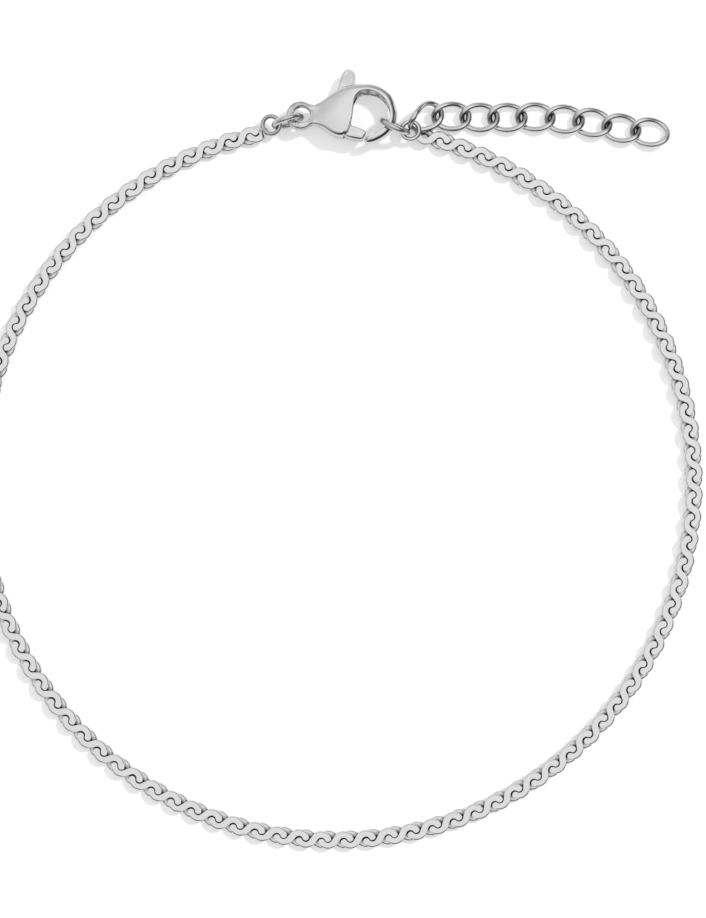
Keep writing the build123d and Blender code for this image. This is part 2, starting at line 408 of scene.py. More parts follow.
class Value:
    """A node's output that Python's operators turn into Math nodes."""

    def __init__(self, tree, socket):
        self.tree = tree
        self.socket = socket

    def math(self, operation, *others):
        inputs = dict(enumerate((self, *others)))
        return self.tree.node(self.tree.math_node, {"operation": operation}, inputs)

    def __add__(self, other):
        return self.math("ADD", other)

    def __radd__(self, other):
        return self.math("ADD", other)

    def __sub__(self, other):
        return self.math("SUBTRACT", other)

    def __rsub__(self, other):
        return self.tree.node(self.tree.math_node, {"operation": "SUBTRACT"}, {0: other, 1: self})

    def __mul__(self, other):
        return self.math("MULTIPLY", other)

    def __rmul__(self, other):
        return self.math("MULTIPLY", other)

    def __truediv__(self, other):
        return self.math("DIVIDE", other)


class Tree:
    """A node tree that nodes are added to, each by its type, settings and inputs."""

    math_node = "ShaderNodeMath"

    def __init__(self, tree):
        self.tree = tree

    def node(self, kind, settings=None, inputs=None, output=0):
        """Adds a node, sets it up, feeds its inputs with values or links, and gives one output."""
        made = self.tree.nodes.new(kind)
        for key, value in (settings or {}).items():
            if key == "stops":
                self.set_stops(made.color_ramp, value)
            else:
                setattr(made, key, value)
        for key, value in (inputs or {}).items():
            self.put(made.inputs[key], value)
        return Value(self, made.outputs[output]) if len(made.outputs) else made

    def noise(self, place, grain):
        """Noise with the given scale and detail."""
        return self.node("ShaderNodeTexNoise", None, {"Vector": place, "Scale": grain[0], "Detail": grain[1]})

    def put(self, socket, value):
        if isinstance(value, Value):
            self.tree.links.new(value.socket, socket)
        else:
            socket.default_value = value

    def set_stops(self, ramp, stops):
        while len(ramp.elements) < len(stops):
            ramp.elements.new(1.0)
        for element, (place, shade) in zip(ramp.elements, stops):
            element.position = place
            element.color = (shade, shade, shade, 1.0)

    def other(self, value, name):
        """Another output of the node that a value comes from."""
        return Value(self, value.socket.node.outputs[name])


def opened_group(name, kinds, result):
    """A new geometry tree and its inputs by their names, each of its kind of socket."""
    group = bpy.data.node_groups.new(name, "GeometryNodeTree")
    for key, kind in kinds.items():
        group.interface.new_socket(key, in_out="INPUT", socket_type="NodeSocket" + kind)
    group.interface.new_socket(result, in_out="OUTPUT", socket_type="NodeSocketGeometry")
    nodes = Tree(group)
    entry = nodes.node("NodeGroupInput")
    return nodes, {s.name: Value(nodes, s) for s in entry.socket.node.outputs if s.name}


def closed_group(nodes, geometry, finish):
    """The finished tree, which gives the geometry as one mesh with its finish."""
    real = nodes.node("GeometryNodeRealizeInstances", None, {0: geometry})
    done = nodes.node("GeometryNodeSetMaterial", None, {"Geometry": real, "Material": finish})
    nodes.node("NodeGroupOutput", None, {0: done})
    return nodes.tree


# ---------------------------------------------------------------- finishes


def steel(name, tint, rough, dark, blotches):
    """Polished steel, rougher and darker where the mesh's mark says so: painted shade in gaps, holes and
    crossings, and a duller look elsewhere.
    """
    material = bpy.data.materials.new(name)
    material.use_nodes = True
    material.node_tree.nodes.clear()
    tree = Tree(material.node_tree)
    place = tree.node("ShaderNodeTexCoord", output="Object")
    recess = tree.node("ShaderNodeAttribute", {"attribute_name": "recess"}, output="Fac")
    clouds = tree.noise(place, CLOUDS)
    turned = tree.node(
        "ShaderNodeMapping", None, {"Vector": place, "Rotation": (0.3, 0.2, 0.6), "Scale": (1, 14, 14)}
    )
    hairs = tree.noise(turned, HAIRS)
    pits = tree.noise(place, PITS)
    cast = tree.noise(place, CAST_GRAIN)
    roughness = rough + 0.03 * (clouds - 0.5) + 0.03 * (hairs - 0.5) + recess * RECESS_ROUGHNESS
    height = pits * (0.03 + recess * 1.0) + cast * (recess * 10.0)
    # Painted shade and dullness: the mark mixes the tint towards its dark share, patched by the casting's
    # grain.
    stops = [(0.40, blotches), (0.50, 0.45 + 0.55 * blotches), (0.60, 1.0)]
    painted_shade_and_dulling = recess * tree.node("ShaderNodeValToRGB", {"stops": stops}, {0: cast})
    shade = tree.node(
        "ShaderNodeMix",
        {"data_type": "RGBA"},
        {0: painted_shade_and_dulling + 0.06 * clouds, 6: (*tint, 1.0), 7: (*[dark * c for c in tint], 1.0)},
        output=2,
    )
    bump = tree.node("ShaderNodeBump", None, {"Strength": 0.25, "Distance": 0.00002, "Height": height})
    shader = tree.node(
        "ShaderNodeBsdfPrincipled",
        None,
        {"Base Color": shade, "Metallic": 1.0, "Roughness": roughness, "Normal": bump},
    )
    tree.node("ShaderNodeOutputMaterial", None, {"Surface": shader})
    return material


def finish_for(name):
    """The named steel, made once."""
    tint, *finish = FINISHES[name]
    look = bpy.context.scene.anklet_steel
    return bpy.data.materials.get(name) or steel(name, getattr(look, tint), *finish)


def mark_shade_and_dullness(mesh, value):
    """Writes how much painted shade and dullness darken each corner of the mesh, by a function of its place."""
    mark = mesh.attributes.new("recess", "FLOAT", "POINT")
    for corner, spot in zip(mark.data, mesh.vertices):
        corner.value = value(spot.co)


# ---------------------------------------------------------------- mesh helpers


def on_table(x, y, z=0.0, turn=0.0):
    """Matrix of something placed in millimetres from the middle of the loop."""
    place = Matrix.Translation(Vector((LOOP_CENTRE[0] + x, LOOP_CENTRE[1] + y, z)) * MM)
    return place @ Matrix.Rotation(radians(turn), 4, "Z")


def tilted(matrix, pitch, roll):
    """The matrix pitched about its own Y, then rolled about its own X, in degrees."""
    return matrix @ Matrix.Rotation(radians(pitch), 4, "Y") @ Matrix.Rotation(radians(roll), 4, "X")


def link_place(index):
    """Matrix of an S-link: its X runs clockwise along the loop and its Y points outwards."""
    chain = bpy.context.scene.anklet_chain
    compass = radians(FIRST_LINK) - index * chain.step
    radius = chain.loop_radius / MM
    return on_table(radius * cos(compass), radius * sin(compass)) @ Matrix.Rotation(compass - pi / 2, 4, "Z")


def clasp_place():
    """Matrix of the clasp's own frame."""
    return tilted(on_table(*CLASP_EYE), 0.0, CLASP_ROLL)


def make_object(name, mesh):
    """Object with the mesh, in the scene."""
    made = bpy.data.objects.new(name, mesh)
    bpy.context.scene.collection.objects.link(made)
    return made


def mesh_from(name, points, faces):
    """Mesh with its doubles merged and its faces pointing outwards."""
    mesh = bpy.data.meshes.new(name)
    mesh.from_pydata([tuple(p) for p in points], [], faces)
    work = bmesh.new()
    work.from_mesh(mesh)
    bmesh.ops.remove_doubles(work, verts=work.verts, dist=1e-9)
    bmesh.ops.recalc_face_normals(work, faces=work.faces)
    work.to_mesh(mesh)
    work.free()
    return mesh


def settle(shape, name, material, body, nodes, crease=180.0):
    """Turns an object with modifiers into a finished piece on its body."""
    made = bpy.data.meshes.new_from_object(shape.evaluated_get(bpy.context.evaluated_depsgraph_get()))
    made.transform(shape.matrix_world)
    made.name = name
    bpy.data.objects.remove(shape)
    made.materials.clear()
    made.materials.append(finish_for(material))
    for face in made.polygons:
        face.use_smooth = True
    made.set_sharp_from_angle(angle=radians(crease))
    if not made.polygons:
        raise RuntimeError(f"{name} came out empty")
    piece = make_object(name, made)
    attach(piece, body)
    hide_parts(*nodes)
    return piece


def clamped(value):
    """The value, or the nearer of 0 and 1 if it lies outside them."""
    return min(1.0, max(0.0, value))


def through(points, samples):
    """Smooth open line through the points, evenly sampled in its own parameter."""
    padded = [points[0], *points, points[-1]]
    line = []
    for i in range(samples + 1):
        at = i / samples * (len(points) - 1)
        k = min(int(at), len(points) - 2)
        line.append(catmull(padded[k : k + 4], at - k))
    return line


def round_loop(points, samples):
    """Smooth closed line through the points."""
    count = len(points)
    line = []
    for k in range(count):
        four = [points[(k + j - 1) % count] for j in range(4)]
        line += [catmull(four, i / samples) for i in range(samples)]
    return line


def catmull(four, t):
    """Place between the second and third of four points, on a smooth line through them."""
    a, b, c, d = four
    return tuple(
        0.5 * (2 * q + (r - p) * t + (2 * p - 5 * q + 4 * r - s) * t * t + (3 * q - p - 3 * r + s) * t**3)
        for p, q, r, s in zip(a, b, c, d)
    )


def table_value(rows, at):
    """Value at a place in a table of (place, value) rows, on a smooth curve through them."""
    rows = sorted(rows)
    if at <= rows[0][0]:
        return rows[0][1]
    for i in range(len(rows) - 1):
        (x0, y0), (x1, y1) = rows[i], rows[i + 1]
        if at <= x1:
            before, after = rows[max(i - 1, 0)], rows[min(i + 2, len(rows) - 1)]
            run = x1 - x0
            rise0 = (y1 - before[1]) / (x1 - before[0]) * run if i else 0.0
            rise1 = (after[1] - y0) / (after[0] - x0) * run if i + 2 < len(rows) else 0.0
            t = (at - x0) / run
            return (
                y0 * (1 + 2 * t) * (1 - t) ** 2
                + rise0 * t * (1 - t) ** 2
                + y1 * t * t * (3 - 2 * t)
                + rise1 * t * t * (t - 1)
            )
    return rows[-1][1]


def outwards(outline):
    """At each corner of a closed outline that runs anticlockwise, the way out of it."""
    ways = []
    for i in range(len(outline)):
        before, after = outline[i - 1], outline[(i + 1) % len(outline)]
        dx, dy = after[0] - before[0], after[1] - before[1]
        size = hypot(dx, dy) or 1.0
        ways.append((dy / size, -dx / size))
    return ways


def shrunk(outline, amounts):
    """The closed outline with each corner moved inwards by its own amount."""
    return [(x - u * a, y - v * a) for (x, y), (u, v), a in zip(outline, outwards(outline), amounts)]


def inset(outline, amount):
    """The closed outline with all its corners moved inwards by the same amount."""
    return shrunk(outline, [amount] * len(outline))


def stack(layers):
    """Closed shell through flat rings of corners, each at its own height."""
    return skin([[(x, y, z) for x, y in ring] for ring, z in layers])


def skin(rings):
    """Closed shell through rings with the same number of corners."""
    count = len(rings[0])
    points = [corner for ring in rings for corner in ring]
    faces = []
    for row in range(len(rings) - 1):
        for i in range(count):
            j = (i + 1) % count
            a, b = row * count, (row + 1) * count
            faces.append((a + i, a + j, b + j, b + i))
    top = (len(rings) - 1) * count
    faces.append(tuple(range(count))[::-1])
    faces.append(tuple(range(top, top + count)))
    return points, faces


# ---------------------------------------------------------------- chain


def strand_outline(sizes, cut, side):
    """Outline of an S-shaped strand in millimetres, anticlockwise, with the given cut off all round."""
    pitch = sizes.loop_radius / MM * sizes.step
    reach = sizes.reach / MM
    lobe = sizes.lobe / MM
    half = sizes.strand / MM / 2 - cut
    lobe_x = pitch - reach
    tip_y = sqrt(lobe**2 - (reach - lobe_x) ** 2) / 2
    tip_angle = atan2(2 * tip_y, reach - lobe_x)
    root_angle = asin(lobe / hypot(lobe_x, tip_y)) - atan2(tip_y, lobe_x) + pi / 2
    bend = [tip_angle + (root_angle - tip_angle) * i / 8 for i in range(9)]
    inner = [(lobe_x + (lobe - half) * cos(t), -tip_y + (lobe - half) * sin(t)) for t in reversed(bend)]
    outer = [(lobe_x + (lobe + half) * cos(t), -tip_y + (lobe + half) * sin(t)) for t in bend]
    nose = []
    c, s = cos(tip_angle), sin(tip_angle)
    for i in range(1, 8):
        turn = pi * i / 8
        ahead = (half - sizes.nose / MM) * sin(turn)
        aside = -half * cos(turn)
        nose.append((reach + c * aside + s * ahead, tip_y + s * aside - c * ahead))
    one = inner + nose + outer
    both = one + [(-x, -y) for x, y in one]
    if side < 0:
        both = [(x, -y) for x, y in reversed(both)]
    return both


def strand_slab(sizes, side, low):
    """One layer of a link, its edges polished round, more so along the outside of the chain."""
    outline = strand_outline(sizes, 0.0, side)
    edge, outer = sizes.edge / MM, sizes.outer_edge / MM
    spread = sizes.spread / MM if side < 0 else 0.0
    edges, starts = [], []
    for (_, y), (_, north) in zip(outline, outwards(outline)):
        away = north * (1 if y > 0 else -1)
        free = clamped((abs(y) - OUTER_FROM) / OUTER_FADE) * clamped(away / OUTER_FACING)
        edges.append(edge + (outer - edge) * free)
        starts.append(-spread * (1 - free))
    rings = []
    for i in range(-1, EDGE_STEPS + 1):
        turn = pi / 2 * max(i, 0) / EDGE_STEPS
        flat = 0.02 if i < 0 else 0.0
        cuts = [start + size * (1 - sin(turn)) + flat for size, start in zip(edges, starts)]
        drops = [size * (1 - cos(turn)) for size in edges]
        rings.append([(x, y, drop) for (x, y), drop in zip(shrunk(outline, cuts), drops)])
    bottom = [[(x, y, low + drop) for x, y, drop in ring] for ring in rings]
    top = [[(x, y, low + sizes.plate / MM - drop) for x, y, drop in ring] for ring in rings[::-1]]
    return skin(bottom + top)


def joined(shells):
    """Several shells as one."""
    points, faces = [], []
    for more_points, more_faces in shells:
        start = len(points)
        points += more_points
        faces += [tuple(start + i for i in face) for face in more_faces]
    return points, faces


def link_painted_shade(co):
    """Painted shade on a link: darkens the walls between the strands and what lies under them."""
    across, high = abs(co.y) / MM, co.z / MM
    if high > SHADE_BELOW:
        return 0.0
    return clamped((GAP_SHADE_HALF - across) / GAP_SHADE_FADE)


def link_shells(sizes):
    """One S-link: its two layers, and the turns of the wire between them at its tips."""
    upper = (sizes.plate + sizes.gap) / MM
    shells = [strand_slab(sizes, -1, 0.0), strand_slab(sizes, 1, upper)]
    for x in (-sizes.reach / MM, sizes.reach / MM):
        ring = [(x + TIP_WIRE * cos(pi * i / 6), TIP_WIRE * sin(pi * i / 6)) for i in range(12)]
        low = sizes.plate / MM - 0.1
        shells.append(stack([(ring, low), (ring, upper + 0.1)]))
    return joined(shells)


def loop_tree():
    """Repeats a link round the loop, each with its own small lean."""
    kinds = {
        "Link": "Geometry",
        "Count": "Int",
        "Radius": "Float",
        "Step": "Float",
        "First": "Float",
        "Centre": "Vector",
        "Sway": "Float",
        "Seed": "Int",
        "Finish": "Material",
    }
    nodes, given = opened_group("Loop of links", kinds, "Loop")
    index = nodes.node("GeometryNodeInputIndex")
    compass = given["First"] - (index + 1) * given["Step"]
    across = nodes.node(
        "ShaderNodeCombineXYZ",
        None,
        {0: compass.math("COSINE") * given["Radius"], 1: compass.math("SINE") * given["Radius"], 2: 0.0},
    )
    place = nodes.node("ShaderNodeVectorMath", {"operation": "ADD"}, {0: across, 1: given["Centre"]})
    dots = nodes.node("GeometryNodePoints", None, {"Count": given["Count"], "Position": place})
    lean = nodes.node(
        "FunctionNodeRandomValue",
        {"data_type": "FLOAT"},
        {"Min": given["Sway"] * -1.0, "Max": given["Sway"], "ID": index, "Seed": given["Seed"]},
        output=1,
    )
    turn = nodes.node("ShaderNodeCombineXYZ", None, {0: lean, 1: 0.0, 2: compass - pi / 2})
    spin = nodes.node("FunctionNodeEulerToRotation", None, {0: turn})
    copies = nodes.node(
        "GeometryNodeInstanceOnPoints", None, {"Points": dots, "Instance": given["Link"], "Rotation": spin}
    )
    return closed_group(nodes, copies, given["Finish"])


def wire_tree():
    """A closed ring or oval of round wire whose quarters may rise and fall, put in its place."""
    kinds = {
        "Half length": "Float",
        "Half width": "Float",
        "Twist": "Float",
        "Near twist": "Float",
        "Wire radius": "Float",
        "Dullness": "Float",
        "Near dullness": "Float",
        "Far dullness": "Float",
        "Place": "Vector",
        "Turn": "Vector",
        "Finish": "Material",
    }
    nodes, given = opened_group("Wire link", kinds, "Wire")
    circle = nodes.node(
        "GeometryNodeCurvePrimitiveCircle", {"mode": "RADIUS"}, {"Resolution": RING_STEPS, "Radius": MM}
    )
    index = nodes.node("GeometryNodeInputIndex")
    angle = index * (2 * pi / RING_STEPS)
    near = (1.0 - angle.math("COSINE")) / 2.0
    twist = given["Twist"] + given["Near twist"] * near
    point = nodes.node(
        "ShaderNodeCombineXYZ",
        None,
        {
            0: angle.math("COSINE") * given["Half length"],
            1: angle.math("SINE") * given["Half width"],
            2: twist * (angle * 2.0).math("SINE") * -1.0,
        },
    )
    bent = nodes.node("GeometryNodeSetPosition", None, {"Geometry": circle, "Position": point})
    profile = nodes.node(
        "GeometryNodeCurvePrimitiveCircle",
        {"mode": "RADIUS"},
        {"Resolution": WIRE_SIDES, "Radius": given["Wire radius"]},
    )
    tube = nodes.node("GeometryNodeCurveToMesh", None, {"Curve": bent, "Profile Curve": profile})
    parts = nodes.node("ShaderNodeSeparateXYZ", None, {0: nodes.node("GeometryNodeInputPosition")})
    along = parts / given["Half length"]
    across = nodes.other(parts, "Y") / given["Half width"]
    out = (along * along + across * across).math("SQRT")
    # Painted shade where extender links cross: their ends darken, their inner side more.
    far_end = nodes.node("ShaderNodeClamp", None, {"Value": (along / out - END_FROM) * END_FADE})
    near_end = nodes.node("ShaderNodeClamp", None, {"Value": (along / out + END_FROM) * -END_FADE})
    inner = nodes.node("ShaderNodeClamp", None, {"Value": (INNER_FROM - out) * INNER_FADE})
    ends = far_end * given["Far dullness"] + near_end * given["Near dullness"]
    dullness_and_crossing_shade = given["Dullness"] + ends * (1.0 + INNER_SHADE * inner)
    dulled_and_shaded = nodes.node(
        "GeometryNodeStoreNamedAttribute",
        {"data_type": "FLOAT", "domain": "POINT"},
        {"Geometry": tube, "Name": "recess", "Value": dullness_and_crossing_shade},
    )
    put = nodes.node(
        "GeometryNodeTransform",
        None,
        {"Geometry": dulled_and_shaded, "Translation": given["Place"], "Rotation": given["Turn"]},
    )
    return closed_group(nodes, put, given["Finish"])


def grown(name, start, tree, inputs):
    """Object whose mesh a geometry tree makes, with the tree's inputs set by their identifiers."""
    shape = make_object(name + "_work", start)
    modifier = shape.modifiers.new("Grow", "NODES")
    modifier.node_group = tree
    sockets = {s.name: s.identifier for s in tree.interface.items_tree if s.item_type == "SOCKET"}
    for key, value in inputs.items():
        modifier[sockets[key]] = value
    return shape


def ring_shape(name, radius, diameter, matrix, dullness):
    """Plain round ring of wire."""
    return wire_shape(name, (radius, radius), (0.0, 0.0), diameter, matrix, dullness)


def wire_shape(name, halves, twists, diameter, matrix, dullness=0.0, ends=(0.0, 0.0)):
    """Ring or oval of wire: half length and width, twist and extra near twist, how dull it is, and the painted
    shade at its near and far ends.
    """
    tree = bpy.data.node_groups.get("Wire link") or wire_tree()
    inputs = {
        "Half length": halves[0],
        "Half width": halves[1],
        "Twist": twists[0],
        "Near twist": twists[1],
        "Wire radius": diameter / 2,
        "Dullness": dullness,
        "Near dullness": ends[0],
        "Far dullness": ends[1],
        "Place": matrix.to_translation(),
        "Turn": Vector(matrix.to_euler()),
        "Finish": finish_for("wire_polish"),
    }
    return grown(name, bpy.data.meshes.new(name), tree, inputs)


def soldered_ring(index, place, dullness):
    """Mesh of a soldered ring, which leaves its foot on a link along the heading."""
    x, y, z, heading, rise, roll = place
    wires = bpy.context.scene.anklet_wire
    foot = link_place(index) @ Matrix.Translation(Vector((x, y, z)) * MM)
    foot = foot @ Matrix.Rotation(radians(heading), 4, "Z")
    centre = tilted(foot, -rise, roll) @ Matrix.Translation((wires.end_radius, 0, 0))
    return plain_mesh(ring_shape("ring", wires.end_radius, wires.end_wire, centre, dullness))


def plain_mesh(shape):
    """The shape's mesh with its modifiers applied, and the shape gone."""
    made = bpy.data.meshes.new_from_object(shape.evaluated_get(bpy.context.evaluated_depsgraph_get()))
    bpy.data.objects.remove(shape)
    return made


def merged(name, meshes):
    """One mesh of several, with their marks."""
    work = bmesh.new()
    for mesh in meshes:
        work.from_mesh(mesh)
    made = bpy.data.meshes.new(name)
    work.to_mesh(made)
    work.free()
    return made


def pressed_web():
    """The pressed end of the last link: a block with round corners and slanted top edges."""
    wide, deep, corner = WEB_SIZE[0] / 2, WEB_SIZE[1] / 2, WEB_CORNER
    outline = []
    for quarter, (sx, sy) in enumerate(((1, -1), (1, 1), (-1, 1), (-1, -1))):
        centre = (WEB_MIDDLE[0] + sx * (wide - corner), WEB_MIDDLE[1] + sy * (deep - corner))
        for i in range(7):
            turn = pi / 2 * (quarter - 1 + i / 6)
            outline.append((centre[0] + corner * cos(turn), centre[1] + corner * sin(turn)))
    chain = bpy.context.scene.anklet_chain
    tall = (2 * chain.plate + chain.gap) / MM
    rings = WEB_EDGE + [(cut, tall - z) for cut, z in reversed(WEB_EDGE)]
    return stack([(inset(outline, cut), z) for cut, z in rings])


def solder_bead():
    """A flattened drop of solder."""
    layers = []
    for i in range(9):
        turn = pi * (0.03 + 0.94 * i / 8) - pi / 2
        ring = arc(SOLDER_CENTRE, SOLDER_RADIUS * cos(turn), 0, 345, 23)
        layers.append((ring, SOLDER_CENTRE[2] + SOLDER_HEIGHT * sin(turn)))
    return stack(layers)


class OBJECT_OT_anklet_chain(bpy.types.Operator):
    """Build the loop of loose S-links"""

    bl_idname = "object.anklet_chain"
    bl_label = "S-link chain"

    def execute(self, context):
        sizes = context.scene.anklet_chain
        points, faces = link_shells(sizes)
        mesh = mesh_from("s_link", [Vector(p) * MM for p in points], faces)
        mark_shade_and_dullness(mesh, link_painted_shade)
        inputs = {
            "Count": sizes.count,
            "Radius": sizes.loop_radius,
            "Step": sizes.step,
            "First": radians(FIRST_LINK),
            "Centre": Vector((*LOOP_CENTRE, LOOP_LIFT)) * MM,
            "Sway": sizes.sway,
            "Seed": sizes.seed,
            "Finish": finish_for("chain_polish"),
        }
        shape = grown("loop", mesh, loop_tree(), inputs)
        settle(shape, "chain_of_links", "chain_polish", "anklet", ["s_link_chain"])
        return {"FINISHED"}


class OBJECT_OT_anklet_chain_ends(bpy.types.Operator):
    """Build the two end links with their soldered rings"""

    bl_idname = "object.anklet_chain_ends"
    bl_label = "Chain ends"

    def execute(self, context):
        self.extender_side(context)
        self.clasp_side(context)
        return {"FINISHED"}

    def extender_side(self, context):
        """The first link, soldered to a ring."""
        points, faces = link_shells(context.scene.anklet_chain)
        link = mesh_from("end_link", [Vector(p) * MM for p in points], faces)
        mark_shade_and_dullness(link, link_painted_shade)
        link.transform(link_place(0))
        ring = soldered_ring(0, EXTENDER_RING, SOLDERED_DULLNESS[0])
        shape = make_object("end_work", merged("end", (link, ring)))
        nodes = ["chain_end_extender_side"]
        settle(shape, "end_link_extender_side", "chain_polish", "anklet", nodes)

    def clasp_side(self, context):
        """Tail half of a link, pressed flat at its cut and soldered to a ring."""
        last = context.scene.anklet_chain.count + 1
        shape = make_object("half", mesh_from("half", *link_shells(context.scene.anklet_chain)))
        square = [(-0.02, -4.0), (4.0, -4.0), (4.0, 4.0), (-0.02, 4.0)]
        knife = make_object("knife", mesh_from("knife", *stack([(square, -1.0), (square, 3.0)])))
        carve(shape, knife)
        half = plain_mesh(shape)
        bpy.data.objects.remove(knife)
        web = mesh_from("web", *pressed_web())
        bead = mesh_from("bead", *solder_bead())
        end = merged("end", (half, web, bead))
        end.transform(link_place(last) @ Matrix.Scale(MM, 4))
        ring = soldered_ring(last, CLASP_RING, SOLDERED_DULLNESS[1])
        shape = make_object("end_work", merged("end", (end, ring)))
        settle(shape, "end_link_clasp_side", "chain_polish", "anklet", ["chain_end_clasp_side"])


class OBJECT_OT_anklet_jump_rings(bpy.types.Operator):
    """Build the two jump rings at the clasp"""

    bl_idname = "object.anklet_jump_rings"
    bl_label = "Jump rings"

    def execute(self, context):
        wires = context.scene.anklet_wire
        radius = wires.jump_radius
        for node, (x, y, heading, lean) in JUMP_RINGS.items():
            height = radius / MM * cos(radians(lean)) + wires.jump_wire / MM / 2
            place = on_table(x, y, height, heading) @ Matrix.Rotation(radians(90 - lean), 4, "X")
            shape = ring_shape(node, radius, wires.jump_wire, place, JUMP_DULLNESS)
            settle(shape, node + "_wire", "ring_satin", "anklet", [node])
        return {"FINISHED"}


class OBJECT_OT_anklet_extender(bpy.types.Operator):
    """Build the extender's oval links"""

    bl_idname = "object.anklet_extender"
    bl_label = "Extender"

    def execute(self, context):
        wires = context.scene.anklet_wire
        for number, (x, y, z, turn, roll, pitch, near_twist) in enumerate(EXTENDER, start=1):
            lowest = (wires.curb_twist + wires.curb_wire / 2) / MM
            place = tilted(on_table(x, y, max(z, lowest), turn), pitch, roll)
            # Painted shade where this link's ends cross its neighbours; the last link's far end crosses none.
            far = CROSSING_SHADE if number < len(EXTENDER) else 0.0
            shape = wire_shape(
                f"link_{number}",
                (wires.curb_length, wires.curb_width),
                (wires.curb_twist, near_twist * MM),
                wires.curb_wire,
                place,
                ends=(CROSSING_SHADE, far),
            )
            node = f"extender_link_{number}"
            settle(shape, node + "_wire", "wire_polish", "anklet", [node])
        return {"FINISHED"}


# ---------------------------------------------------------------- clasp


def arc(centre, radius, start, end, steps):
    """Points along an arc, from one compass to another in degrees."""
    turns = [radians(start + (end - start) * i / steps) for i in range(steps + 1)]
    return [(centre[0] + radius * cos(t), centre[1] + radius * sin(t)) for t in turns]


def claw_line(radius, swell, start, end, steps):
    """Line along the claw whose radius swells or shrinks towards the hook."""
    turns = [start + (end - start) * i / steps for i in range(steps + 1)]
    rows = [(turn, radius + table_value(swell, turn)) for turn in turns]
    return [(CLAW_CENTRE[0] + r * cos(radians(t)), CLAW_CENTRE[1] + r * sin(radians(t))) for t, r in rows]


def claw_compass(x, y):
    """Compass of a place as seen from the claw's centre, in degrees."""
    return atan2(y - CLAW_CENTRE[1], x - CLAW_CENTRE[0]) * 180 / pi


def clasp_contours(sizes):
    """Lines of the clasp in plan: outer rim, hook's tip, throat, lower edge, and the hole in its eye."""
    outer, inner = sizes.claw_outer / MM, sizes.claw_inner / MM
    eye = arc(EYE_CENTRE, sizes.eye_radius / MM, -52, -308, 56)
    rim = eye + through(UPPER_EDGE, 48)[1:] + claw_line(outer, HOOK_OUTER, 96, -87, 90)
    outer += table_value(HOOK_OUTER, -90)
    inner_end = inner + table_value(HOOK_INNER, -90)
    middle = (CLAW_CENTRE[0], CLAW_CENTRE[1] - (outer + inner_end) / 2)
    tip = arc(middle, (outer - inner_end) / 2, -82, -190, 9)
    throat = arc(middle, (outer - inner_end) / 2, -200, -266, 6)
    throat += claw_line(inner, HOOK_INNER, -86, 94, 80) + through(THROAT, 48)[1:]
    rim_end = through(LOWER_EDGE, 44)
    hole = arc(EYE_HOLE_CENTRE, sizes.eye_hole / MM, 0, 352.5, 47)
    return rim, tip, throat, rim_end, hole


def closest(points):
    """Measures the way from a place to the nearest of the points."""
    tree = KDTree(len(points))
    for i, (x, y) in enumerate(points):
        tree.insert((x, y, 0.0), i)
    tree.balance()
    return lambda x, y: tree.find((x, y, 0.0))[2]


def dense(line, closed=True):
    """The line with points about every hundredth of a millimetre."""
    out = []
    ends = zip(line, line[1:] + line[:1]) if closed else zip(line, line[1:])
    for (x0, y0), (x1, y1) in ends:
        steps = max(1, int(hypot(x1 - x0, y1 - y0) / 0.012))
        out += [(x0 + (x1 - x0) * i / steps, y0 + (y1 - y0) * i / steps) for i in range(steps)]
    return out


def inside(x, y, outline):
    """Whether a place is within the closed outline."""
    hit = False
    for (x0, y0), (x1, y1) in zip(outline, outline[1:] + outline[:1]):
        if (y0 > y) != (y1 > y) and x < (x1 - x0) * (y - y0) / (y1 - y0) + x0:
            hit = not hit
    return hit


def dip(distance, edge):
    """How far a rounded edge has fallen at a distance from the outline."""
    if distance >= edge:
        return 0.0
    return edge * (1 - sqrt(max(0.0, 1 - (1 - distance / edge) ** 2)))


def height_over(from_rim, from_throat):
    """Measures how high the casting stands over its middle plane, by the ways to its rim and throat."""

    def height(x, y):
        turn = claw_compass(x, y)
        if x > CLAW_ROOT:
            tall, edge = table_value(CLAW_HEIGHTS, turn), table_value(CLAW_EDGE, turn)
        else:
            tall, edge = table_value(BODY_HEIGHTS, x), table_value(BODY_EDGE, x)
        rim_way = from_rim(x, y)
        crown = table_value(BODY_CROWN, x) * (1 - max(0.0, 1 - rim_way / CROWN_REACH) ** 2)
        steep = STEEPER * clamped(y - STEEPER_FROM) * (x > STEEPER_FROM)
        rounding = dip(rim_way + steep * edge, min(edge, tall - 0.04))
        lip = dip(from_throat(x, y), table_value(CLAW_LIP, turn))
        return max(THINNEST, tall + crown - rounding - lip)

    return height


def casting_plan(outline, hole):
    """The casting divided in plan: its spots, and the triangles between them that are metal."""
    plan, edges = [], []
    for loop in (outline, hole):
        start = len(plan)
        plan += loop
        edges += [(start + i, start + (i + 1) % len(loop)) for i in range(len(loop))]
    either = closest(dense(outline) + dense(hole))
    for away in BORDER_BANDS:
        fine = away < FINE_BANDS
        apart = FINE_SPACING if fine else 0.07 + away * 0.12
        for loop in (outline, hole):
            last = None
            ring = offset_in(loop, away if loop is outline else -away)
            for x, y in ring if fine else dense(ring):
                if either(x, y) < away - 0.006:
                    continue
                if last is None or hypot(x - last[0], y - last[1]) > apart:
                    plan.append((x, y))
                    last = (x, y)
    (west, south), (east, north) = GRID_BOX
    for i in range(int(west / GRID_STEP), int(east / GRID_STEP)):
        for j in range(int(south / GRID_STEP), int(north / GRID_STEP)):
            x, y = i * GRID_STEP, (j + 0.5 * (i % 2)) * GRID_STEP
            if inside(x, y, outline) and either(x, y) > GRID_START:
                plan.append((x, y))
    flat = mathutils.geometry.delaunay_2d_cdt([Vector(p) for p in plan], edges, [], 0, 1e-6)
    spots, metal = flat[0], []
    for face in flat[2]:
        x = sum(spots[i].x for i in face) / 3
        y = sum(spots[i].y for i in face) / 3
        if inside(x, y, outline) and not inside(x, y, hole):
            metal.append(tuple(face))
    return spots, metal


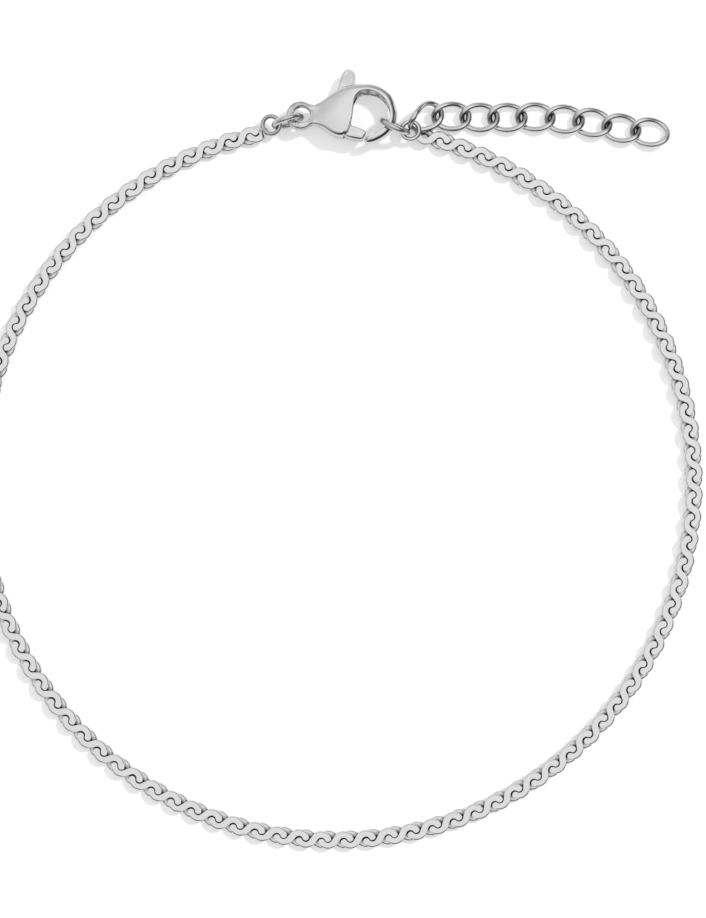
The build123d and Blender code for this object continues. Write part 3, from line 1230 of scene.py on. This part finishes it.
def walled(upper, triangles):
    """Closed shell from its upper side, mirrored below, with a wall along every border."""
    count = len(upper)
    points = upper + [(x, y, -z) for x, y, z in upper]
    faces = triangles + [tuple(count + i for i in face[::-1]) for face in triangles]
    sides = dict.fromkeys((a, b) for face in triangles for a, b in zip(face, face[1:] + face[:1]))
    rows = {}

    def way_down(corner):
        """A border corner's way down the wall, from the upper side to the lower."""
        if corner not in rows:
            x, y, top = points[corner]
            steps = [top * (1 - 2 * part) for part in (0.04, 0.27, 0.5, 0.73, 0.96)]
            rows[corner] = [corner, *range(len(points), len(points) + len(steps)), count + corner]
            points.extend((x, y, z) for z in steps)
        return rows[corner]

    for a, b in sides:
        if (b, a) not in sides:
            left, right = way_down(a), way_down(b)
            for k in range(len(left) - 1):
                faces.append((right[k], left[k], left[k + 1], right[k + 1]))
    return points, faces


def casting_shell(sizes):
    """The clasp's body: eye, neck, crown and claw in one, the same above and below."""
    rim, tip, throat, rim_end, hole = clasp_contours(sizes)
    from_rim = closest(dense(rim_end + rim + tip, False))
    height = height_over(from_rim, closest(dense(throat, False) + dense(hole)))
    spots, metal = casting_plan(rim + tip + throat + rim_end, hole)
    return walled([(p.x, p.y, height(p.x, p.y)) for p in spots], metal)


def clasp_shade_and_dullness(co):
    """Painted shade and dullness on the clasp: painted shade on the walls of its eye's hole and of the room for
    the lever, partly painted shade on its throat's wall, and duller towards the eye.
    """
    x, y, z = co
    eye_side = EYE_SIDE_DULLNESS * clamped((EYE_SIDE_FROM - x) / EYE_SIDE_FADE)
    if hypot(x, y) < EYE_WALL_RADIUS:
        return 1.0 if abs(z) < EYE_WALL_HEIGHT else eye_side
    across = hypot(x - CLAW_CENTRE[0], y - CLAW_CENTRE[1])
    if x > THROAT_FROM[0] and y > THROAT_FROM[1] and across < THROAT_RADIUS:
        turn = claw_compass(x, y)
        tall = table_value(CLAW_HEIGHTS, turn) if x > CLAW_ROOT else table_value(BODY_HEIGHTS, x)
        return clamped((tall - THROAT_LIP - abs(z)) / LIP_FADE)
    in_room = x > ROOM_FROM and abs(z) < ROOM_HEIGHT and hypot(x - ROOM_MIDDLE, y) < ROOM_RADIUS
    return 1.0 if in_room else eye_side


def offset_in(outline, amount):
    """Closed outline moved to the side by an amount, its sense found from its area."""
    area = sum(x0 * y1 - x1 * y0 for (x0, y0), (x1, y1) in zip(outline, outline[1:] + outline[:1]))
    return inset(outline, amount if area > 0 else -amount)


def carve(target, cutter):
    """Takes the cutter's shape out of the target object."""
    modifier = target.modifiers.new("Carve", "BOOLEAN")
    modifier.operation = "DIFFERENCE"
    modifier.solver = "EXACT"
    modifier.object = cutter


class OBJECT_OT_anklet_clasp(bpy.types.Operator):
    """Build the lobster clasp's body"""

    bl_idname = "object.anklet_clasp"
    bl_label = "Clasp body"

    def execute(self, context):
        sizes = context.scene.anklet_clasp
        half = sizes.slot / MM / 2
        room = make_object("room", mesh_from("room", *stack([(SLOT_CORNERS, -half), (SLOT_CORNERS, half)])))
        shape = make_object("casting", mesh_from("casting", *casting_shell(sizes)))
        carve(shape, room)
        made = plain_mesh(shape)
        bpy.data.objects.remove(room)
        mark_shade_and_dullness(made, clasp_shade_and_dullness)
        made.transform(clasp_place() @ Matrix.Scale(MM, 4))
        shape = make_object("clasp_work", made)
        settle(shape, "clasp_casting", "clasp_polish", "anklet", ["clasp_body"])
        return {"FINISHED"}


def lever_dulling(co):
    """Dullness mark on the lever, whose tab is darker and rougher than its gate."""
    return TAB_DULLNESS if co.y > TAB_ABOVE else LEVER_DULLNESS


def clear_of_body(x, y):
    """Whether a place on the shut lever lies outside the body, by the throat's lower end."""
    if y > GATE_FOOT[1]:
        return y < GATE_BELOW and x > 4.95 + 0.30 * (y + 0.38)
    return x > GATE_FOOT[0] + 0.61 * (y - GATE_FOOT[1])


def gate_outline(outline):
    """The part of the lever's outline that stands clear of the body, from one end of it to the other."""
    free = [(x, y) for x, y in outline if clear_of_body(x, y)]
    steps = [hypot(x - free[i - 1][0], y - free[i - 1][1]) for i, (x, y) in enumerate(free)]
    start = steps.index(max(steps))
    return free[start:] + free[:start] + [GATE_FOOT]


def bend_radius(outline, corner, reach=3):
    """Radius of the circle through a corner and the two that lie a few corners away."""
    (ax, ay), (bx, by) = outline[corner - reach], outline[corner]
    cx, cy = outline[(corner + reach) % len(outline)]
    doubled = abs((bx - ax) * (cy - ay) - (cx - ax) * (by - ay))
    sides = hypot(bx - ax, by - ay) * hypot(cx - bx, cy - by) * hypot(ax - cx, ay - cy)
    return sides / max(2 * doubled, 1e-6)


def evened(amounts, reach=3):
    """The amounts round a closed outline, each the mean of itself and its neighbours."""
    count, window = len(amounts), range(-reach, reach + 1)
    return [sum(amounts[(i + j) % count] for j in window) / len(window) for i in range(count)]


def lever_shell(outline, half, is_gate):
    """The lever's plate, its tab's far edge cut to a slant, or its thicker gate, well rounded below."""
    count = len(outline)
    rounding, slants = [], []
    for i, ((_, y), (east, north)) in enumerate(zip(outline, outwards(outline))):
        slants.append(max(0.0, east) ** 0.5 if y > TAB_ABOVE else 0.0)
        if is_gate:
            fade = clamped(1.4 + east * 2.0) * min(i + 1, count - i, 4) / 4
            rounding.append(GATE_ENDS + (GATE_EDGE + GATE_LOWER * max(0.0, -north) ** 2) * fade)
        else:
            near = PLATE_NEAR * max(0.0, -east) * (y > 0)
            rounding.append(PLATE_EDGE - PLATE_FAR * slants[-1] + near - PLATE_IN_GATE * (y < GATE_BELOW))
    if is_gate:
        tight = evened([min(edge, BEND_SHARE * bend_radius(outline, i)) for i, edge in enumerate(rounding)])
        rounding = [min(pair) for pair in zip(rounding, tight)]
    layers = []
    for i in range(-1, LEVER_STEPS + 1):
        turn = pi / 2 * max(i, 0) / LEVER_STEPS
        down = max(i, 0) / LEVER_STEPS
        cuts, heights = [], []
        for (x, y), edge, slant in zip(outline, rounding, slants):
            under = PLATE_INSET if y < GATE_BELOW and not is_gate else 0.0
            flat = 0.03 if i < 0 else 0.0
            cuts.append(under + edge * (1 - sin(turn)) + flat + slant * TAB_SLANT[0] * (1 - down))
            heights.append(half - edge * (1 - cos(turn)) - slant * TAB_SLANT[1] * down)
        layers.append([(x, y, z) for (x, y), z in zip(shrunk(outline, cuts), heights)])
    return skin([[(x, y, -z) for x, y, z in ring] for ring in layers] + layers[::-1])


class OBJECT_OT_anklet_lever(bpy.types.Operator):
    """Build the clasp's lever"""

    bl_idname = "object.anklet_lever"
    bl_label = "Clasp lever"

    def execute(self, context):
        half = context.scene.anklet_clasp.lever / MM / 2
        outline = round_loop(LEVER_OUTLINE[::-1], 8)
        plate = lever_shell(outline, half, False)
        gate = lever_shell(gate_outline(outline), half * GATE_FULLNESS, True)
        points, faces = joined((plate, gate))
        mesh = mesh_from("lever", points, faces)
        mark_shade_and_dullness(mesh, lever_dulling)
        mesh.transform(clasp_place() @ Matrix.Scale(MM, 4))
        shape = make_object("lever_work", mesh)
        settle(shape, "lever_plate", "clasp_polish", "lever", ["clasp_lever"], crease=35.0)
        return {"FINISHED"}


class OBJECT_OT_anklet_pin(bpy.types.Operator):
    """Build the pin that the lever turns on"""

    bl_idname = "object.anklet_pin"
    bl_label = "Lever pin"

    def execute(self, context):
        profile = PIN_PROFILE + [(radius, -z) for radius, z in reversed(PIN_PROFILE[:-1])]
        layers = [(arc(PIVOT, radius, 0, 345, 23), z) for radius, z in reversed(profile)]
        points, faces = stack(layers)
        mesh = mesh_from("pin", [clasp_place() @ (Vector(p) * MM) for p in points], faces)
        shape = make_object("pin_work", mesh)
        settle(shape, "lever_pin_turned", "clasp_polish", "anklet", ["lever_pin"])
        return {"FINISHED"}


# ---------------------------------------------------------------- stage


class OBJECT_OT_anklet_stage(bpy.types.Operator):
    """Build the floor, the light and the camera"""

    bl_idname = "object.anklet_stage"
    bl_label = "Stage"

    def execute(self, context):
        self.floor(context)
        self.sky(context)
        self.lamp()
        self.camera(context)
        context.scene.view_settings.view_transform = "Standard"
        return {"FINISHED"}

    def floor(self, context):
        """Pale surface, white to the eye and in the steel, with the anklet's shadow on it."""
        corners = [(x * FLOOR_HALF, y * FLOOR_HALF, 0) for x, y in ((-1, -1), (1, -1), (1, 1), (-1, 1))]
        mesh = bpy.data.meshes.new("floor")
        mesh.from_pydata(corners, [], [(0, 1, 2, 3)])
        material = bpy.data.materials.new("floor_paper")
        material.use_nodes = True
        material.node_tree.nodes.clear()
        tree = Tree(material.node_tree)
        tint = context.scene.anklet_steel.floor
        path = tree.node("ShaderNodeLightPath", output="Is Camera Ray")
        seen = path + tree.other(path, "Is Glossy Ray")
        plain = tree.node("ShaderNodeBsdfDiffuse", None, {"Color": (*tint, 1.0)})
        paper = tree.node("ShaderNodeBsdfDiffuse", None, {"Color": (*[PAPER_SHADE] * 3, 1.0)})
        white = tree.node("ShaderNodeEmission", None, {"Color": (1.0, 1.0, 1.0, 1.0), "Strength": PAPER_GLOW})
        bright = tree.node("ShaderNodeAddShader", None, {0: paper, 1: white})
        shader = tree.node("ShaderNodeMixShader", None, {0: seen, 1: plain, 2: bright})
        tree.node("ShaderNodeOutputMaterial", None, {"Surface": shader})
        mesh.materials.append(material)
        make_object("floor", mesh)

    def sky(self, context):
        """Soft white studio above, darker low down to the south and east, so that edges read."""
        world = bpy.data.worlds.new("studio")
        context.scene.world = world
        world.use_nodes = True
        world.node_tree.nodes.clear()
        tree = Tree(world.node_tree)
        way = tree.node("ShaderNodeTexCoord", output="Generated")
        parts = tree.node("ShaderNodeSeparateXYZ", None, {0: way})
        x, y, z = (tree.other(parts, axis) for axis in "XYZ")
        facing = tree.node(
            "ShaderNodeMath", {"operation": "ADD", "use_clamp": True}, {0: (y - x) * 0.6, 1: 0.40}
        )
        low = SKY_DARK + SKY_GAIN * facing
        cap = tree.node(
            "ShaderNodeMapRange",
            {"interpolation_type": "SMOOTHSTEP"},
            {"Value": z, "From Min": CEILING_FROM, "From Max": CEILING_TO},
        )
        high = CEILING + CEILING_TILT * (x + y)
        glow = low + cap * (high - low)
        light = tree.node("ShaderNodeBackground", None, {"Color": glow, "Strength": 1.0})
        tree.node("ShaderNodeOutputWorld", None, {"Surface": light})

    def lamp(self):
        """Key light that gives the shadow and leaves no spot in the steel."""
        data = bpy.data.lights.new("key", "SUN")
        data.energy = KEY_STRENGTH
        data.angle = radians(KEY_SPREAD)
        lamp = bpy.data.objects.new("key", data)
        bpy.context.scene.collection.objects.link(lamp)
        lamp.rotation_euler = Vector(KEY_FROM).to_track_quat("Z", "Y").to_euler()
        lamp.visible_glossy = False

    def camera(self, context):
        """Camera straight above the loop."""
        data = bpy.data.cameras.new("camera")
        data.sensor_width = 36.0
        data.lens = CAMERA_LENS
        camera = bpy.data.objects.new("camera", data)
        context.scene.collection.objects.link(camera)
        camera.location = Vector(CAMERA_PLACE) * MM
        data.clip_start = 0.01
        data.clip_end = 20.0
        context.scene.camera = camera


OPERATORS = [
    OBJECT_OT_anklet_chain,
    OBJECT_OT_anklet_chain_ends,
    OBJECT_OT_anklet_jump_rings,
    OBJECT_OT_anklet_extender,
    OBJECT_OT_anklet_clasp,
    OBJECT_OT_anklet_lever,
    OBJECT_OT_anklet_pin,
    OBJECT_OT_anklet_stage,
]


class VIEW3D_PT_anklet(bpy.types.Panel):
    """Lists the pieces and their sizes"""

    bl_idname = "VIEW3D_PT_anklet"
    bl_label = "Chain anklet"
    bl_space_type = "VIEW_3D"
    bl_region_type = "UI"
    bl_category = "Anklet"

    def draw(self, context):
        for name in GROUPS:
            group = getattr(context.scene, name)
            box = self.layout.box()
            for key in group.__annotations__:
                box.prop(group, key)
        for operator in OPERATORS:
            self.layout.operator(operator.bl_idname)


def register():
    for cls in (*GROUPS.values(), *OPERATORS, VIEW3D_PT_anklet):
        bpy.utils.register_class(cls)
    for name, cls in GROUPS.items():
        setattr(bpy.types.Scene, name, bpy.props.PointerProperty(type=cls))


def unregister():
    for name in GROUPS:
        delattr(bpy.types.Scene, name)
    for cls in (VIEW3D_PT_anklet, *OPERATORS[::-1], *list(GROUPS.values())[::-1]):
        bpy.utils.unregister_class(cls)


def main():
    """Builds everything."""
    register()
    for operator in OPERATORS:
        group, name = operator.bl_idname.split(".")
        getattr(getattr(bpy.ops, group), name)()


if __name__ == "__main__":
    main()
